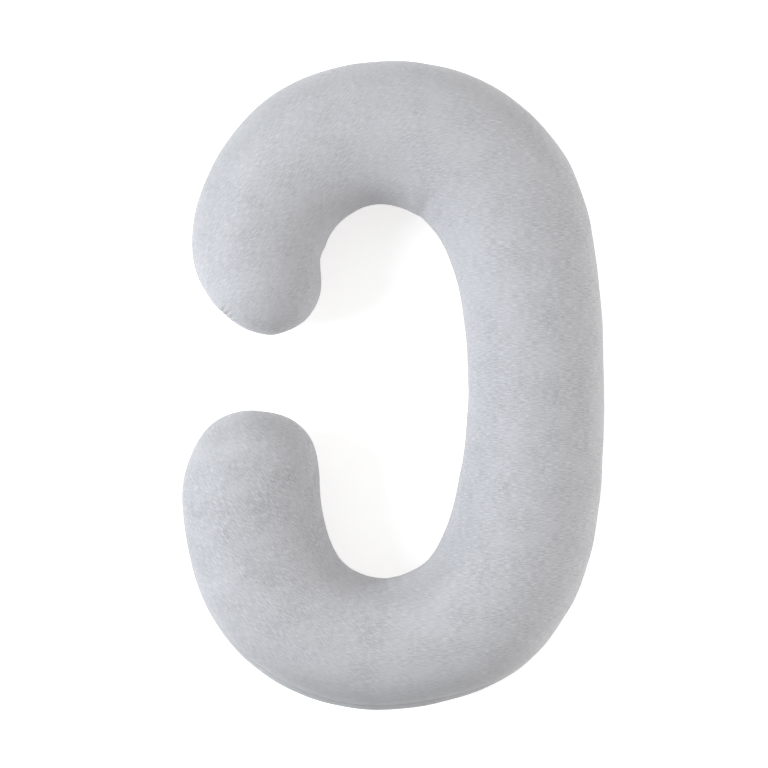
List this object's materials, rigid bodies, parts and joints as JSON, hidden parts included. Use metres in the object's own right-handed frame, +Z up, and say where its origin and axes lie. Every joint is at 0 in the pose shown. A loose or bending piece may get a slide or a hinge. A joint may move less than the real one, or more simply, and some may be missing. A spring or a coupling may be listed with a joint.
{
  "type": "c-shaped pregnancy pillow",
  "caption": "C-shaped stuffed body pillow in a light grey short-pile knit cover, lying on its back, for support in pregnancy.",
  "frame": {"origin": "on the surface that the pillow lies on, under the middle of its box", "axes": "+X towards the closed back of the C, +Y towards the head end, +Z up out of the upper face"},
  "size_m": [0.8426, 1.295, 0.2228],
  "materials": {
    "cover": "matt short-pile velour knit, light bluish grey, with a soft sheen where the nap turns"
  },
  "bodies": {
    "root": {"pillow": "cover"}
  },
  "joints": []
}
